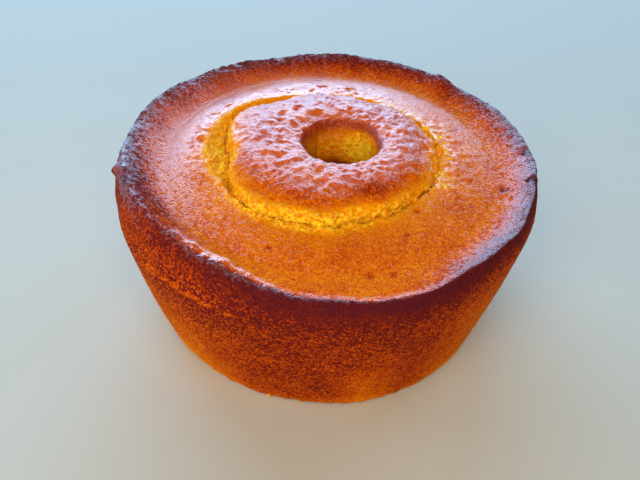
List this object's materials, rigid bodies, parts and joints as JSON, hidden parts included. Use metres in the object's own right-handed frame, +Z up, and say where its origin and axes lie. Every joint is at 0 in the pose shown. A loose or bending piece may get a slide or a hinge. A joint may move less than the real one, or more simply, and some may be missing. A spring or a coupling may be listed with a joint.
{
  "type": "cornmeal cake",
  "caption": "Whole cornmeal ring cake from a plain tube pan: tapered browned side, raised crust rim, cracked domed middle and a round hole through it.",
  "frame": {"origin": "middle of the flat base, on the pan's axis", "axes": "+Z up through the hole, -Y towards the front of the cake"},
  "size_m": [0.1889, 0.1868, 0.0868],
  "materials": {
    "baked_cake": "browned crust over yellow crumb, satin"
  },
  "bodies": {
    "root": {"cake": "baked_cake"}
  },
  "joints": []
}
